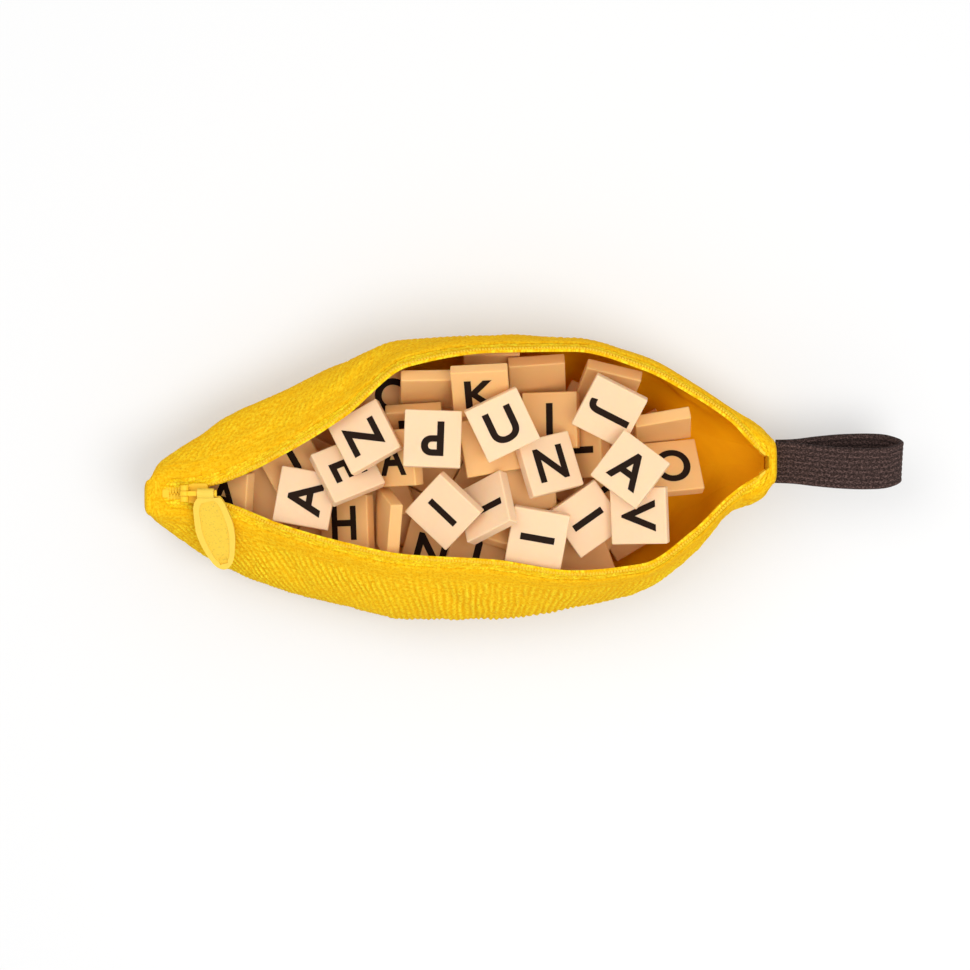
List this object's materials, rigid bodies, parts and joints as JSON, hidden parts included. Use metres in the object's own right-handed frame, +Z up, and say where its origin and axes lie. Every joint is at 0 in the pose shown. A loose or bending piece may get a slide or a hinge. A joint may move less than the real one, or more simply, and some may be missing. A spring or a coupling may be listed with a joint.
{
  "type": "travel word tile game case",
  "caption": "Zipped soft cloth pouch with a hand strap, open and filled with loose square letter tiles.",
  "frame": {"origin": "middle of the flat belly that the pouch stands on", "axes": "+X along the pouch from the zip's closed end to the strap, +Y across it towards the back panel, +Z up out of the mouth"},
  "size_m": [0.2485, 0.093, 0.05],
  "materials": {
    "outer_cloth": "ribbed woven",
    "lining_cloth": "smooth woven",
    "zip_tape": "fine woven",
    "zip_plastic": "moulded",
    "slider_enamel": "enamelled",
    "tab_rubber": "soft moulded",
    "strap_webbing": "ribbed elastic webbing",
    "tile_plastic": "satin moulded"
  },
  "bodies": {
    "root": {"front_panel": "outer_cloth", "back_panel": "outer_cloth", "left_end_cap": "outer_cloth", "right_end_cap": "outer_cloth", "front_lining": "lining_cloth", "back_lining": "lining_cloth", "seam_binding": "lining_cloth", "zip_tape_front": "zip_tape", "zip_tape_back": "zip_tape", "zip_teeth_front": "zip_plastic", "zip_teeth_back": "zip_plastic", "zip_bottom_stop": "zip_plastic", "zip_top_stop_front": "zip_plastic", "zip_top_stop_back": "zip_plastic", "strap_anchor": "strap_webbing", "buried_tiles": "tile_plastic", "letter_tile_01": "tile_plastic", "letter_tile_02": "tile_plastic", "letter_tile_03": "tile_plastic", "letter_tile_04": "tile_plastic", "letter_tile_05": "tile_plastic", "letter_tile_06": "tile_plastic", "letter_tile_07": "tile_plastic", "letter_tile_08": "tile_plastic", "letter_tile_09": "tile_plastic", "letter_tile_10": "tile_plastic", "letter_tile_11": "tile_plastic", "letter_tile_12": "tile_plastic", "letter_tile_13": "tile_plastic", "letter_tile_14": "tile_plastic", "letter_tile_15": "tile_plastic", "letter_tile_16": "tile_plastic", "letter_tile_17": "tile_plastic", "letter_tile_18": "tile_plastic", "letter_tile_19": "tile_plastic", "letter_tile_20": "tile_plastic", "letter_tile_21": "tile_plastic", "letter_tile_22": "tile_plastic", "letter_tile_23": "tile_plastic", "letter_tile_24": "tile_plastic", "letter_tile_25": "tile_plastic", "letter_tile_26": "tile_plastic", "letter_tile_27": "tile_plastic", "letter_tile_28": "tile_plastic", "letter_tile_29": "tile_plastic", "letter_tile_30": "tile_plastic", "letter_tile_31": "tile_plastic", "letter_tile_32": "tile_plastic", "letter_tile_33": "tile_plastic", "letter_tile_35": "tile_plastic"},
    "slider": {"slider_body": "slider_enamel", "slider_bridge": "slider_enamel"},
    "link": {"pull_link": "slider_enamel"},
    "tab": {"pull_tab": "tab_rubber"},
    "strap": {"strap_loop": "strap_webbing"},
    "tile_34": {"letter_tile_34": "tile_plastic"},
    "tile_36": {"letter_tile_36": "tile_plastic"},
    "tile_37": {"letter_tile_37": "tile_plastic"},
    "tile_38": {"letter_tile_38": "tile_plastic"}
  },
  "joints": [
    {"name": "slider_slide", "type": "slide", "parent": "root", "child": "slider", "axis": [-1, 0, 0], "range_m": [0, 0.002]},
    {"name": "link_hinge", "type": "hinge", "parent": "slider", "child": "link", "pos_m": [-0.08998, -0.00478, 0.03962], "axis": [0, -1, 0], "range_deg": [0, 100]},
    {"name": "tab_hinge", "type": "hinge", "parent": "link", "child": "tab", "pos_m": [-0.08308, -0.00478, 0.03962], "axis": [-1, 0, 0], "range_deg": [0, 95]},
    {"name": "strap_hinge", "type": "hinge", "parent": "root", "child": "strap", "pos_m": [0.1074, 0.00576, 0.02609], "axis": [0, -0.8829, -0.4695], "range_deg": [-35, 75]},
    {"name": "lift_tile_34", "type": "slide", "parent": "root", "child": "tile_34", "axis": [0, 0, 1], "range_m": [0, 0.08]},
    {"name": "lift_tile_36", "type": "slide", "parent": "root", "child": "tile_36", "axis": [0, 0, 1], "range_m": [0, 0.08]},
    {"name": "lift_tile_37", "type": "slide", "parent": "root", "child": "tile_37", "axis": [0, 0, 1], "range_m": [0, 0.08]},
    {"name": "lift_tile_38", "type": "slide", "parent": "root", "child": "tile_38", "axis": [0, 0, 1], "range_m": [0, 0.08]}
  ]
}
